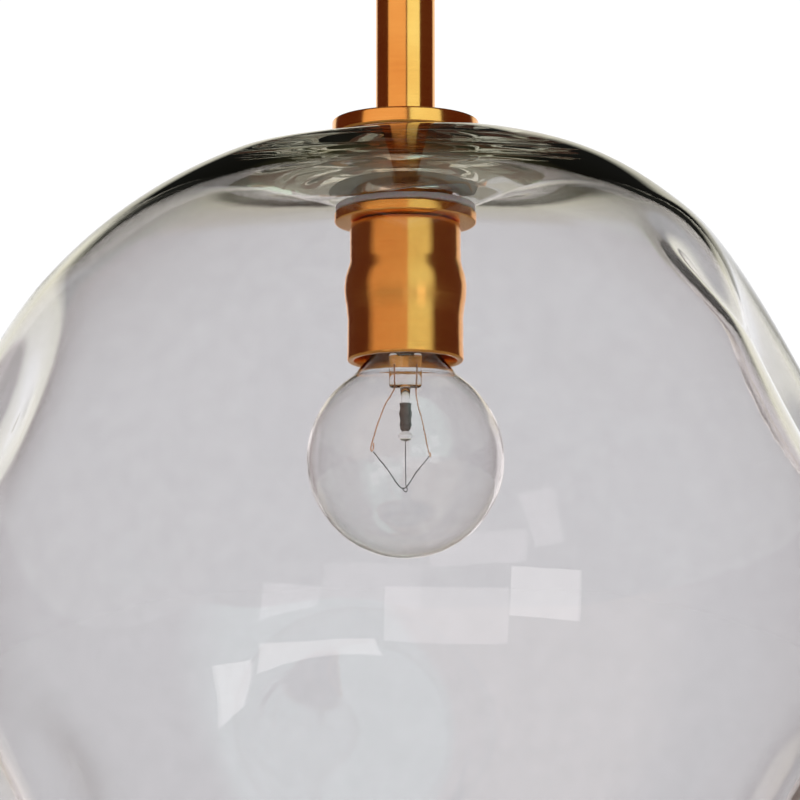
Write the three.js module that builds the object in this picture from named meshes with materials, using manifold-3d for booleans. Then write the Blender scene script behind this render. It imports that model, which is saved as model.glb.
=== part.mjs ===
// Pendant ceiling light: a blown, dimpled glass globe with a globe bulb inside, clamped between two
// brass discs at the foot of a brass stem. The stem hangs from a ball swivel in a round ceiling canopy.
// Frame: millimetres, +Z up, origin on the stem's axis at the ceiling, -Y towards the viewer.
import * as THREE from "three";
import { mergeVertices } from "three/addons/utils/BufferGeometryUtils.js";
import Module from "manifold-3d";

// ---- Driving dimensions ----
const GAP = 0.3; // between pieces that touch

const PIPE = { radius: 4.85, bore: 3.3 }; // threaded lamp pipe
const PIPE_HOLE = PIPE.radius + GAP;

const CANOPY = { radius: 63.5, height: 25, wall: 1.5, round: 6, hole: 17.5 };
const CROSSBAR = { length: 108, width: 22, thick: 2 };
const STUD = { x: 46, radius: 2, length: 33 };
const BOX_SLOT = { x: 34.9, radius: 2.3, travel: 3.5 }; // for the ceiling box's own screws
const GROUND_SCREW_X = 18;
const KNOB = { radius: 5.5, height: 10.5 };

const BALL = { z: -30, radius: 9, top: 6 }; // z is the swivel's centre
const SEAT = { radius: 14, flange: 17, bore: 11.3 }; // the ring that the ball sits in
const TILT = THREE.MathUtils.degToRad(30);

const STEM = { radius: 7.94, bore: 6.3, length: 305, top: BALL.z - 18 };
const TOP_WASHER = { radius: 19.6, thick: 4.2 };
const TOP_GASKET = { radius: 17.5, thick: 0.7 };
const LOWER_GASKET = { radius: 18.7, thick: 1.9 };
const FLANGE = { radius: 19, thick: 3.2 };

const GLOBE = {
  radius: 127,
  hole: 13.2, // drilled through the thick crown
  seat: 28, // flat above, round the top washer
  innerSeat: 20.5,
  crown: 15.9, // thickness at the hole
  wall: 2.6,
  pad: { front: 44, back: 28 }, // from the crown, where the thick glass is half gone
  mouth: 52, // radius of the open bottom
};

const CUP = { bore: 13.6, plate: 2, length: 37.5, rim: 15.5 };
const SOCKET = { radius: 10.4, bore: 7.2, length: 16 };
const SHELL = { radius: 6.9, bore: 6.4 };
const WIRE = { radius: 1, apart: 1.15 };

const BULB = { radius: 26.3, wall: 0.8, neck: 6.8, baseRadius: 5.95, baseLength: 13.2 };

// ---- Heights that follow from them ----
const canopyFloor = -CANOPY.height;
const stemFoot = STEM.top - STEM.length;
const washerFoot = stemFoot - GAP - TOP_WASHER.thick;
const topGasketFoot = washerFoot - GAP - TOP_GASKET.thick;
const globeTop = topGasketFoot - GAP;
const crownFoot = globeTop - GLOBE.crown;
const lowerGasketFoot = crownFoot - GAP - LOWER_GASKET.thick;
const flangeFoot = lowerGasketFoot - GAP - FLANGE.thick;
const cupTop = flangeFoot - GAP;
const cupRim = cupTop - CUP.length;
const socketTop = cupTop - 14.5;
const socketFoot = socketTop - SOCKET.length;
const globeCentre = globeTop - Math.sqrt(GLOBE.radius ** 2 - GLOBE.seat ** 2);
const bulbCentre = cupRim - 26.2;
const bulbTip = socketTop - 3.4; // the solder button on the bulb's base

// ---- Materials ----
const finish = (color, roughness, metalness, opacity = 1) =>
  new THREE.MeshStandardMaterial({ color, roughness, metalness, opacity, transparent: opacity < 1 });
const BRASS = finish(0xc9873e, 0.3, 1);
const STEEL = finish(0xb0b0ac, 0.4, 1);
const GREEN_STEEL = finish(0x2f7d43, 0.45, 0.6);
const RUBBER = finish(0x1a1a1a, 0.8, 0);
const SILICONE = finish(0xe4e2e4, 0.5, 0);
const SMOKE_GLASS = finish(0xc9c8cb, 0.03, 0, 0.35);
const BULB_GLASS = finish(0xf2f3f4, 0.03, 0, 0.25);
const PHENOLIC = finish(0x1d1a18, 0.5, 0);
const BLACK_GLASS = finish(0x120f12, 0.15, 0);
const NICKEL = finish(0xc9b07a, 0.3, 1);
const COPPER_WIRE = finish(0xd9a08a, 0.35, 1);
const TUNGSTEN = finish(0x55565a, 0.5, 1);
const BLACK_PVC = finish(0x101010, 0.5, 0);
const WHITE_PVC = finish(0xe9e7e2, 0.5, 0);

// ---- Solids ----
const wasm = await Module();
wasm.setup();

function toSolid(geometry) {
  const bare = new THREE.BufferGeometry();
  bare.setAttribute("position", geometry.getAttribute("position"));
  bare.setIndex(geometry.index);
  const merged = mergeVertices(bare, 1e-3);
  const mesh = new wasm.Mesh({
    numProp: 3,
    vertProperties: merged.attributes.position.array,
    triVerts: new Uint32Array(merged.index.array),
  });
  return new wasm.Manifold(mesh);
}

function toGeometry(solid) {
  const mesh = solid.getMesh();
  const geometry = new THREE.BufferGeometry();
  geometry.setAttribute("position", new THREE.BufferAttribute(mesh.vertProperties, 3));
  geometry.setIndex(new THREE.BufferAttribute(mesh.triVerts, 1));
  geometry.computeVertexNormals();
  return geometry;
}

function cut(body, ...tools) {
  return toGeometry(tools.reduce((left, tool) => left.subtract(toSolid(tool)), toSolid(body)));
}

function join(...pieces) {
  return toGeometry(pieces.map(toSolid).reduce((all, piece) => all.add(piece)));
}

// A profile of [radius, z] points turned round Z. It starts and ends on the axis, or it is a closed ring.
function lathe(profile, segments = 24) {
  const points = profile.map(([r, z]) => new THREE.Vector2(r, z));
  const startsOnAxis = profile[0][0] === 0;
  if (!startsOnAxis) points.push(points[0].clone());
  const area = points.reduce((sum, p, i) => {
    const q = points[(i + 1) % points.length];
    return sum + p.x * q.y - q.x * p.y;
  }, 0);
  if (area < 0) points.reverse();
  return new THREE.LatheGeometry(points, segments).rotateX(Math.PI / 2);
}

// A washer, tube or disc between two heights, with its outer edges broken by a small bevel.
function ring(bore, radius, low, high, { segments = 24, bevel = 0 } = {}) {
  const outer = bevel
    ? [[radius - bevel, low], [radius, low + bevel], [radius, high - bevel], [radius - bevel, high]]
    : [[radius, low], [radius, high]];
  const inner = bore ? [[bore, high], [bore, low]] : [[0, high], [0, low]];
  return bore ? lathe([...outer, ...inner], segments) : lathe([inner[1], ...outer, inner[0]], segments);
}

const box = (x, y, z, width, depth, height) =>
  new THREE.BoxGeometry(width, depth, height).translate(x, y, z);

// A hexagonal nut standing between two heights, with the distance across its flats.
function hexNut(bore, acrossFlats, low, high) {
  const corner = acrossFlats / Math.sqrt(3);
  const hexagon = new THREE.CylinderGeometry(corner, corner, high - low, 6);
  hexagon.rotateX(Math.PI / 2).translate(0, 0, (low + high) / 2);
  return bore ? cut(hexagon, ring(0, bore, low - 1, high + 1, { segments: 16 })) : hexagon;
}

// A round wire through points, with flat ends.
function wire(points, radius, { steps = 16, sides = 8 } = {}) {
  const section = new THREE.Shape();
  section.absarc(0, 0, radius, 0, 2 * Math.PI);
  return new THREE.ExtrudeGeometry(section, {
    steps,
    curveSegments: sides,
    extrudePath: new THREE.CatmullRomCurve3(points.map((p) => new THREE.Vector3(...p))),
  });
}

// Points whose radius is all but zero, put exactly on the axis.
const onAxis = (points) => points.map(([r, z]) => [r < 1e-6 ? 0 : r, z]);

// Points of an arc round [r, z], between two angles from the +r direction.
function arc([r, z], radius, from, to, steps) {
  return Array.from({ length: steps + 1 }, (_, i) => {
    const angle = THREE.MathUtils.degToRad(from + ((to - from) * i) / steps);
    return [r + radius * Math.cos(angle), z + radius * Math.sin(angle)];
  });
}

const light = new THREE.Group();
function add(name, geometry, material, { x = 0, y = 0, turn = 0 } = {}) {
  const mesh = new THREE.Mesh(geometry, material);
  mesh.name = name;
  mesh.position.set(x, y, 0);
  mesh.rotation.z = turn;
  light.add(mesh);
}

const SIDES = [["left", -1], ["right", 1]];

// ---- Ceiling fixing ----
function crossbar() {
  const { length, width, thick } = CROSSBAR;
  const end = width / 2;
  const plan = new THREE.Shape();
  plan.absarc(length / 2 - end, 0, end, -Math.PI / 2, Math.PI / 2);
  plan.absarc(end - length / 2, 0, end, Math.PI / 2, 1.5 * Math.PI);
  const hole = (x, radius) => plan.holes.push(new THREE.Path().absarc(x, 0, radius, 0, 2 * Math.PI));
  for (const [, side] of SIDES) {
    hole(side * STUD.x, STUD.radius + GAP);
    const slot = new THREE.Path();
    const middle = side * BOX_SLOT.x;
    slot.absarc(middle + BOX_SLOT.travel, 0, BOX_SLOT.radius, -Math.PI / 2, Math.PI / 2);
    slot.absarc(middle - BOX_SLOT.travel, 0, BOX_SLOT.radius, Math.PI / 2, 1.5 * Math.PI);
    plan.holes.push(slot);
  }
  hole(GROUND_SCREW_X, 1.9);
  hole(0, PIPE_HOLE);
  const bar = new THREE.ExtrudeGeometry(plan, { depth: thick, bevelEnabled: false, curveSegments: 5 });
  return bar.translate(0, 0, -thick);
}

function canopyKnob() {
  const top = canopyFloor - GAP;
  const low = top - KNOB.height;
  return lathe([
    [0, low],
    [KNOB.radius * 0.6, low + 0.6],
    [KNOB.radius - 0.5, low + 2.2],
    [KNOB.radius, low + 4],
    [KNOB.radius, top - 1.8],
    [KNOB.radius - 1, top],
    [STUD.radius + GAP, top],
    [STUD.radius + GAP, -STUD.length - GAP],
    [0, -STUD.length - GAP],
  ], 16);
}

function canopy() {
  const { radius, wall, round, hole } = CANOPY;
  const shell = lathe([
    [hole, canopyFloor],
    ...arc([radius - round, canopyFloor + round], round, -90, 0, 4),
    [radius, 0],
    [radius - wall, 0],
    ...arc([radius - round, canopyFloor + round], round - wall, 0, -90, 4),
    [hole, canopyFloor + wall],
  ], 48);
  const studHole = ring(0, STUD.radius + 0.6, canopyFloor - 1, canopyFloor + wall + 1, { segments: 12 });
  return cut(shell, studHole.clone().translate(-STUD.x, 0, 0), studHole.translate(STUD.x, 0, 0));
}

function addCeilingFixing() {
  const barFoot = -CROSSBAR.thick;
  add("crossbar", crossbar(), STEEL);
  for (const [name, side] of SIDES) {
    const stud = ring(0, STUD.radius, -STUD.length, 0, { segments: 12 });
    add(`canopy_stud_${name}`, stud, STEEL, { x: side * STUD.x });
    const nut = hexNut(STUD.radius + GAP, 8, barFoot - GAP - 3.2, barFoot - GAP);
    add(`stud_nut_${name}`, nut, STEEL, { x: side * STUD.x });
    add(`canopy_knob_${name}`, canopyKnob(), BRASS, { x: side * STUD.x });
  }
  const groundHead = barFoot - GAP;
  const groundScrew = join(
    hexNut(0, 7.5, groundHead - 2.6, groundHead),
    ring(0, 1.6, groundHead - 1, -GAP, { segments: 12 }),
  );
  add("ground_screw", groundScrew, GREEN_STEEL, { x: GROUND_SCREW_X });
  add("canopy", canopy(), BRASS);
}

// ---- Ball swivel, which lets the stem hang straight from a sloped ceiling ----
const collarTop = BALL.z + SEAT.bore - GAP; // the seat ring's flange rests here

function swivelCollar() {
  const trim = { radius: 21, low: canopyFloor - GAP - 3.2, high: canopyFloor - GAP };
  const body = CANOPY.hole - GAP;
  return lathe([
    [SEAT.radius + GAP, trim.low],
    [trim.radius - 1, trim.low],
    [trim.radius, trim.low + 1],
    [trim.radius, trim.high],
    [body, trim.high],
    [body, collarTop],
    [SEAT.radius + GAP, collarTop],
  ], 32);
}

// The ring turns in the collar, and its slot lets the lamp pipe tilt one way and the other.
function swivelSeat() {
  const centre = [0, BALL.z];
  const cavity = BALL.radius + GAP;
  const shoulder = 1.5;
  const flangeFoot = collarTop + GAP;
  const shoulderAngle = THREE.MathUtils.radToDeg(Math.asin(shoulder / cavity));
  const cup = lathe([
    ...onAxis(arc(centre, SEAT.radius, -90, 0, 8)),
    [SEAT.radius, flangeFoot],
    [SEAT.flange, flangeFoot],
    [SEAT.flange, flangeFoot + 2.5],
    [SEAT.bore, flangeFoot + 2.5],
    [SEAT.bore, BALL.z + shoulder],
    ...onAxis(arc(centre, cavity, shoulderAngle, -90, 8)),
  ], 32);
  const half = PIPE.radius + 0.45;
  const reach = 20;
  const edge = (side, along) => new THREE.Vector2(
    side * (half * Math.cos(TILT) + along * Math.sin(TILT)),
    half * Math.sin(TILT) - along * Math.cos(TILT),
  );
  const lowest = new THREE.Vector2(0, -reach);
  const sweep = new THREE.Shape([edge(-1, 0), edge(-1, reach), lowest, edge(1, reach), edge(1, 0)]);
  const slot = new THREE.ExtrudeGeometry(sweep, { depth: 2 * half, bevelEnabled: false });
  slot.translate(0, 0, -half).rotateY(Math.PI / 2).rotateX(Math.PI / 2);
  return cut(cup, slot.translate(0, 0, BALL.z));
}

function swivelBall() {
  const degrees = (z) => THREE.MathUtils.radToDeg(Math.asin(z / BALL.radius));
  const foot = -Math.sqrt(BALL.radius ** 2 - PIPE_HOLE ** 2);
  return lathe([
    ...arc([0, BALL.z], BALL.radius, degrees(foot), degrees(BALL.top), 10),
    [PIPE_HOLE, BALL.z + BALL.top],
  ], 32);
}

function addSwivel() {
  add("swivel_collar", swivelCollar(), BRASS);
  const nutFoot = canopyFloor + CANOPY.wall + GAP;
  add("swivel_collar_nut", ring(CANOPY.hole, 22.5, nutFoot, nutFoot + 3.4, { segments: 32 }), STEEL);
  add("swivel_seat", swivelSeat(), BRASS);
  add("swivel_ball", swivelBall(), BRASS);
  const nut = BALL.z + BALL.top + GAP;
  add("swivel_ball_nut", hexNut(PIPE_HOLE, 12.5, nut, nut + 3), STEEL);
  add("swivel_pipe", ring(PIPE.bore, PIPE.radius, STEM.top - 14, nut + 4), STEEL);
}

// ---- Stem, and the stack of discs that clamps the glass ----
function addStem() {
  const { radius, bore, top } = STEM;
  const insert = bore - GAP;
  const cap = top + 1.5;
  const topInsert = lathe([
    [PIPE_HOLE, top - 16],
    [insert, top - 16],
    [insert, top + GAP],
    [radius, top + GAP],
    [radius, cap],
    [PIPE_HOLE, cap],
  ]);
  add("stem_top_insert", topInsert, BRASS);
  add("stem_tube", ring(bore, radius, stemFoot, top, { segments: 32 }), BRASS);
  add("stem_bottom_insert", ring(PIPE_HOLE, insert, stemFoot, stemFoot + 20), BRASS);
  add("clamp_pipe", ring(PIPE.bore, PIPE.radius, cupTop - 8.9, stemFoot + 18), STEEL);
}

function addGlassClamp() {
  const top = stemFoot - GAP;
  const disc = (bore, part, low, bevel) =>
    ring(bore, part.radius, low, low + part.thick, { segments: 40, bevel });
  add("top_washer", disc(PIPE_HOLE, TOP_WASHER, top - TOP_WASHER.thick, 0.5), BRASS);
  add("top_gasket", disc(PIPE_HOLE, TOP_GASKET, topGasketFoot, 0), RUBBER);
  add("centring_bush", ring(PIPE_HOLE, GLOBE.hole - 0.5, crownFoot, globeTop - GAP), BRASS);
  add("lower_gasket", disc(PIPE_HOLE, LOWER_GASKET, lowerGasketFoot, 0), SILICONE);
  add("glass_flange", disc(PIPE_HOLE, FLANGE, flangeFoot, 0.5), BRASS);
}

// ---- Glass globe ----
// Each dimple was pressed into the hot glass: where its middle points from the globe's centre
// (azimuth from +X towards +Y, and height above the horizontal), its radius and its depth.
// A negative depth is a swelling.
const DIMPLES = [
  { azimuth: -15.5, height: 25.5, radius: 61, depth: 16.7 },
  { azimuth: -35, height: 39.5, radius: 27, depth: 5.2 },
  { azimuth: -7, height: 66.5, radius: 42, depth: -2.2 },
  { azimuth: -120, height: 80.5, radius: 36, depth: 4.2 },
  { azimuth: -156, height: 20, radius: 46, depth: 8 },
  { azimuth: -143, height: -26, radius: 32, depth: 7 },
  { azimuth: -13, height: -30, radius: 40, depth: 8 },
  { azimuth: -97, height: -28, radius: 36, depth: 5 },
  { azimuth: 54, height: 43, radius: 30, depth: 4 },
  { azimuth: 135, height: 18, radius: 44, depth: 6 },
  { azimuth: 98, height: -11, radius: 42, depth: 5 },
  { azimuth: 20, height: -25, radius: 40, depth: 6 },
  { azimuth: 170, height: -25, radius: 42, depth: 8 },
  { azimuth: 100, height: 35, radius: 38, depth: 5 },
];

function towards({ azimuth, height }) {
  const turn = THREE.MathUtils.degToRad(azimuth);
  const rise = THREE.MathUtils.degToRad(height);
  return new THREE.Vector3(Math.cos(turn) * Math.cos(rise), Math.sin(turn) * Math.cos(rise), Math.sin(rise));
}

// How far the wall is pressed in at a point, given as a unit vector and a distance from the globe's centre.
// The crown stays flat where the metal discs grip it.
function pressedIn(direction, distance) {
  const pressed = DIMPLES.reduce((sum, dimple) => {
    const away = (towards(dimple).angleTo(direction) * GLOBE.radius) / dimple.radius;
    return away < 1 ? sum + dimple.depth * Math.cos((away * Math.PI) / 2) ** 2 : sum;
  }, 0);
  const fromAxis = distance * Math.hypot(direction.x, direction.y);
  return pressed * THREE.MathUtils.smoothstep(fromAxis, GLOBE.innerSeat, GLOBE.seat);
}

// How much thicker than its wall the glass is in a direction from the globe's centre. The thick pad
// round the crown, where the glass hung from the pipe, reaches less far at the back.
function crownPad(direction) {
  const along = Math.acos(direction.z) * GLOBE.radius;
  const back = ((1 + Math.sin(Math.atan2(direction.y, direction.x))) / 2) ** 2;
  const reach = THREE.MathUtils.lerp(GLOBE.pad.front, GLOBE.pad.back, back);
  return (GLOBE.crown - GLOBE.wall) / (1 + (along / reach) ** 6);
}

function globe() {
  const rows = 24;
  const start = Math.asin(GLOBE.seat / GLOBE.radius);
  const end = Math.PI - Math.asin(GLOBE.mouth / GLOBE.radius);
  const at = (angle, radius) => [radius * Math.sin(angle), globeCentre + radius * Math.cos(angle)];
  const angles = Array.from({ length: rows + 1 }, (_, i) => start + ((end - start) * i) / rows);
  const outer = angles.map((angle) => at(angle, GLOBE.radius));
  const thin = GLOBE.radius - GLOBE.wall;
  const inner = angles.slice(1).map((angle) => at(angle, thin));
  const geometry = lathe([
    [GLOBE.hole, globeTop],
    [GLOBE.innerSeat, globeTop],
    ...outer,
    ...inner.reverse(),
    [GLOBE.innerSeat, crownFoot],
    [GLOBE.hole, crownFoot],
  ], 48);
  const position = geometry.getAttribute("position");
  const point = new THREE.Vector3();
  const centre = new THREE.Vector3(0, 0, globeCentre);
  for (let i = 0; i < position.count; i++) {
    point.fromBufferAttribute(position, i).sub(centre);
    const radius = point.length();
    point.normalize();
    const pad = Math.abs(radius - thin) < 0.01 ? crownPad(point) : 0;
    point.multiplyScalar(radius - pressedIn(point, radius) - pad).add(centre);
    position.setXYZ(i, point.x, point.y, point.z);
  }
  return geometry;
}

// ---- Lampholder ----
function socketCup() {
  const down = (r, below) => [r, cupTop - below];
  return lathe([
    down(PIPE_HOLE, 0),
    down(14.4, 0),
    down(14.8, 0.4),
    down(14.8, 10.5),
    down(15.2, 12.1),
    down(16.1, 15.2),
    down(16.3, 17.5),
    down(16.1, 20),
    down(15.4, 25.5),
    down(CUP.rim, CUP.length - 0.6),
    down(CUP.rim - 0.6, CUP.length),
    down(CUP.bore, CUP.length),
    down(CUP.bore, CUP.plate),
    down(PIPE_HOLE, CUP.plate),
  ], 32);
}

function socketBracket() {
  const top = cupTop - CUP.plate - GAP;
  const thick = 1.2;
  const leg = { y: 11.3, width: 6, depth: 1, foot: socketTop - 9 };
  const eye = ring(PIPE_HOLE, 9, top - thick, top);
  const arm = box(0, 9.4, top - thick / 2, leg.width, 2 * (leg.y + leg.depth / 2 - 9.4), thick);
  const upright = box(0, leg.y, (top + leg.foot) / 2, leg.width, leg.depth, top - leg.foot);
  return join(eye, arm, upright);
}

function socketBody() {
  const floor = socketTop - 2;
  return lathe([
    [0, floor],
    [SOCKET.bore, floor],
    [SOCKET.bore, socketFoot],
    [SOCKET.radius, socketFoot],
    [SOCKET.radius, socketTop],
    [0, socketTop],
  ]);
}

function addLampholder() {
  add("socket_cup", socketCup(), BRASS);
  add("socket_bracket", socketBracket(), STEEL);
  const washerTop = cupTop - CUP.plate - 1.2 - 2 * GAP;
  add("lock_washer", ring(PIPE_HOLE, 8, washerTop - 0.8, washerTop), STEEL);
  const nutTop = washerTop - 0.8 - GAP;
  add("clamp_nut", hexNut(PIPE_HOLE, 14, nutTop - 3, nutTop), STEEL);
  add("socket_body", socketBody(), PHENOLIC);
  const shellTop = socketTop - 5;
  add("socket_screw_shell", ring(SHELL.bore, SHELL.radius, socketFoot, shellTop), NICKEL);
  add("socket_contact", box(0, 0, socketTop - 2.6, 4, 8, 0.5), NICKEL);
  const terminal = { x: 7.4, radius: 2.4, height: 1.5 };
  for (const [name, side] of [["hot", -1], ["neutral", 1]]) {
    const headFoot = socketTop + GAP;
    const head = ring(0, terminal.radius, headFoot, headFoot + terminal.height, { segments: 12 });
    add(`terminal_screw_${name}`, head, STEEL, { x: side * terminal.x });
    const beside = terminal.x - terminal.radius - GAP - WIRE.radius;
    const bend = wire([
      [side * WIRE.apart, 0, cupTop - 8.6],
      [side * WIRE.apart, 0, cupTop - 10],
      [side * (WIRE.apart + 1.2), 0, socketTop + 2.6],
      [side * beside, 0, socketTop + 0.9],
    ], WIRE.radius, { steps: 8, sides: 6 });
    const straight = ring(0, WIRE.radius, cupTop - 9, BALL.z + 13, { segments: 12 });
    const lead = join(straight.translate(side * WIRE.apart, 0, 0), bend);
    add(`wire_${name}`, lead, name === "hot" ? BLACK_PVC : WHITE_PVC);
  }
}

// ---- Bulb ----
function bulbEnvelope() {
  const neckTop = bulbTip - BULB.baseLength + 3;
  const centre = [0, bulbCentre];
  const inner = BULB.radius - BULB.wall;
  const neckFoot = cupRim + 4;
  return lathe([
    ...onAxis(arc(centre, BULB.radius, -90, 55, 12)),
    [11, cupRim + 0.4],
    [BULB.neck + 1, neckFoot - 1.2],
    [BULB.neck, neckFoot + 0.5],
    [5.4, neckFoot + 0.9],
    [5.4, neckTop],
    [4.6, neckTop],
    [4.6, neckFoot + 0.3],
    [BULB.neck, neckFoot - 1.8],
    [10.2, cupRim - 0.4],
    ...onAxis(arc(centre, inner, 55, -90, 12)),
  ], 28);
}

function bulbBase() {
  const shellTop = bulbTip - 2.4;
  const shellFoot = bulbTip - BULB.baseLength;
  const shell = lathe([
    [5.7, shellFoot],
    [BULB.baseRadius + 0.2, shellFoot],
    [BULB.baseRadius, shellFoot + 1],
    [BULB.baseRadius, shellTop - 0.6],
    [4.9, shellTop],
    [4.3, shellTop],
    [4.3, shellTop - 0.6],
    [5.7, shellTop - 1],
  ]);
  const insulator = lathe([
    [0, shellTop + GAP],
    [4.6, shellTop + GAP],
    [2.9, bulbTip - 0.8],
    [0, bulbTip - 0.8],
  ], 16);
  const button = lathe([[0, bulbTip - 0.5], [2.2, bulbTip - 0.5], [1.4, bulbTip], [0, bulbTip]], 12);
  return { shell, insulator, button };
}

// The glass mount: a flare and pinch that hold the leads, and a rod with a button that holds the support.
function bulbMount() {
  const pinch = { foot: cupRim - 7.1, width: 8.7, depth: 2.6, height: 9 };
  const rodFoot = cupRim - 19;
  const block = box(0, 0, pinch.foot + pinch.height / 2, pinch.width, pinch.depth, pinch.height);
  const flare = lathe([
    [0, pinch.foot + pinch.height - 1],
    [3, pinch.foot + pinch.height - 1],
    [3, cupRim + 5],
    [4.3, cupRim + 8],
    [0, cupRim + 8],
  ], 16);
  const rod = ring(0, 1.2, rodFoot, pinch.foot + 1, { segments: 12 });
  const flatten = (z) => rodFoot - 1 + (z - rodFoot + 1) * 0.7;
  const button = lathe(onAxis(arc([0, rodFoot - 1], 2.1, -90, 90, 6)).map(([r, z]) => [r, flatten(z)]), 12);
  return join(block, flare, rod, button);
}

function addBulb() {
  const base = bulbBase();
  const down = (x, below, y = 0) => [x, y, cupRim - below];
  const fine = { steps: 12, sides: 6 };
  add("bulb_envelope", bulbEnvelope(), BULB_GLASS);
  add("bulb_base_shell", base.shell, NICKEL);
  add("bulb_base_insulator", base.insulator, BLACK_GLASS);
  add("bulb_base_contact", base.button, STEEL);
  add("bulb_mount", bulbMount(), BULB_GLASS);
  add("bulb_getter", ring(1.2 + GAP, 1.8, cupRim - 18.2, cupRim - 11.3, { segments: 12 }), TUNGSTEN);
  const left = [down(-2.9, 7.4), down(-5.1, 10.7), down(-7.1, 15.9), down(-8.7, 20.8), down(-9.1, 23.4)];
  const right = [down(2.9, 7.4), down(3.5, 11.5), down(4.5, 15.9), down(5.5, 20.8), down(6.4, 25.1)];
  add("bulb_lead_left", wire(left, 0.3, fine), COPPER_WIRE);
  add("bulb_lead_right", wire(right, 0.3, fine), COPPER_WIRE);
  const support = [down(0, 21.8), down(0, 28), down(0, 33)];
  add("bulb_support", wire(support, 0.16, { steps: 4, sides: 6 }), TUNGSTEN);
  const filament = [down(-8.4, 24.4), down(-4.6, 29.3), down(-0.8, 34.1), down(2.7, 29.8), down(6.1, 26)];
  add("bulb_filament", wire(filament, 0.2, fine), TUNGSTEN);
}

addCeilingFixing();
addSwivel();
addStem();
addGlassClamp();
add("globe", globe(), SMOKE_GLASS);
addLampholder();
addBulb();

export default light;
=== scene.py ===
import math

import bmesh
import bpy
import numpy as np
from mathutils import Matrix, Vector


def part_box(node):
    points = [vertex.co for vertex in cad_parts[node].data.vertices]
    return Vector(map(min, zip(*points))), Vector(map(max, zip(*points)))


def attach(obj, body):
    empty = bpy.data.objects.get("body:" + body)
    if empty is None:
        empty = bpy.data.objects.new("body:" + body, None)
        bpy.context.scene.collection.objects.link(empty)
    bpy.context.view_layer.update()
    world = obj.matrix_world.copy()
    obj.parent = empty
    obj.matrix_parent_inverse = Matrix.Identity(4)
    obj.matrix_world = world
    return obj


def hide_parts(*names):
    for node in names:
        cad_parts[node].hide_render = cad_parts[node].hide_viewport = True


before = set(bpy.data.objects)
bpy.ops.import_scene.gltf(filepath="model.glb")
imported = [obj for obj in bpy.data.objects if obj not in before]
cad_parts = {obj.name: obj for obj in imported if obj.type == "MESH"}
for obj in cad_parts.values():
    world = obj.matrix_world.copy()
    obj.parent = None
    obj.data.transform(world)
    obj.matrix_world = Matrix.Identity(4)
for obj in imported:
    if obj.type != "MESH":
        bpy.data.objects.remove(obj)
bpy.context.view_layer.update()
MM = 0.001
PIPE_BORE = 5.15  # the radius of the holes that the lamp pipe goes through, 0.3 mm more than its own


def top(node):
    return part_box(node)[1].z / MM


def foot(node):
    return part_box(node)[0].z / MM


def radius(node):
    lo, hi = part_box(node)
    return (hi.x - lo.x) / 2 / MM


# ---------------------------------------------------------------- node helpers
def shade_ramp(ramp, *stops):
    while len(ramp.elements) < len(stops):
        ramp.elements.new(0.5)
    for element, (position, color) in zip(ramp.elements, stops):
        element.position = position
        element.color = (*color, 1)


class Nodes:
    """A material's node tree, with short calls for the nodes that the materials share."""

    def __init__(self, name):
        self.material = bpy.data.materials.new(name)
        self.material.use_nodes = True
        self.tree = self.material.node_tree
        self.shader = self.tree.nodes["Principled BSDF"]
        self.output = self.tree.nodes["Material Output"]

    def add(self, kind, **settings):
        node = self.tree.nodes.new(kind)
        for key, value in settings.items():
            setattr(node, key, value)
        return node

    def link(self, source, target):
        self.tree.links.new(source, target)

    def set(self, **values):
        for key, value in values.items():
            self.shader.inputs[key.replace("_", " ")].default_value = value

    def math(self, operation, a, b=0.0):
        node = self.add("ShaderNodeMath", operation=operation)
        for socket, value in zip(node.inputs, (a, b)):
            if isinstance(value, (int, float)):
                socket.default_value = value
            else:
                self.link(value, socket)
        return node.outputs[0]

    def noise(self, vector, scale, detail=3.0, roughness=0.5, w=None):
        node = self.add("ShaderNodeTexNoise", noise_dimensions="4D" if w is not None else "3D")
        node.inputs["Scale"].default_value = scale
        node.inputs["Detail"].default_value = detail
        node.inputs["Roughness"].default_value = roughness
        self.link(vector, node.inputs["Vector"])
        if w is not None:
            self.link(w, node.inputs["W"])
        return node.outputs["Fac"]

    def range(self, value, low, high, to_low, to_high):
        node = self.add("ShaderNodeMapRange")
        self.link(value, node.inputs["Value"])
        for name, number in zip(("From Min", "From Max", "To Min", "To Max"), (low, high, to_low, to_high)):
            node.inputs[name].default_value = number
        return node.outputs["Result"]

    def ramp(self, value, *stops):
        node = self.add("ShaderNodeValToRGB")
        shade_ramp(node.color_ramp, *stops)
        self.link(value, node.inputs["Fac"])
        return node.outputs["Color"]

    def bump(self, height, strength, distance, normal=None):
        node = self.add("ShaderNodeBump")
        node.inputs["Strength"].default_value = strength
        node.inputs["Distance"].default_value = distance
        self.link(height, node.inputs["Height"])
        if normal is not None:
            self.link(normal, node.inputs["Normal"])
        return node.outputs["Normal"]

    def position(self):
        return self.add("ShaderNodeTexCoord").outputs["Object"]


def turned_coordinates(nodes, axis_x, fine):
    """(vector, w) in which noise makes lines that run round a vertical axis, as turning and brushing leave."""
    xyz = nodes.add("ShaderNodeSeparateXYZ")
    nodes.link(nodes.position(), xyz.inputs[0])
    x = nodes.math("SUBTRACT", xyz.outputs["X"], axis_x * MM)
    y = xyz.outputs["Y"]
    square = nodes.math("ADD", nodes.math("MULTIPLY", x, x), nodes.math("MULTIPLY", y, y))
    r = nodes.math("SQRT", square)
    vector = nodes.add("ShaderNodeCombineXYZ")
    nodes.link(nodes.math("MULTIPLY", r, fine), vector.inputs["X"])
    nodes.link(nodes.math("MULTIPLY", xyz.outputs["Z"], fine), vector.inputs["Y"])
    nodes.link(nodes.math("MULTIPLY", x, 60.0), vector.inputs["Z"])
    return vector.outputs[0], nodes.math("MULTIPLY", y, 60.0)


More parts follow.
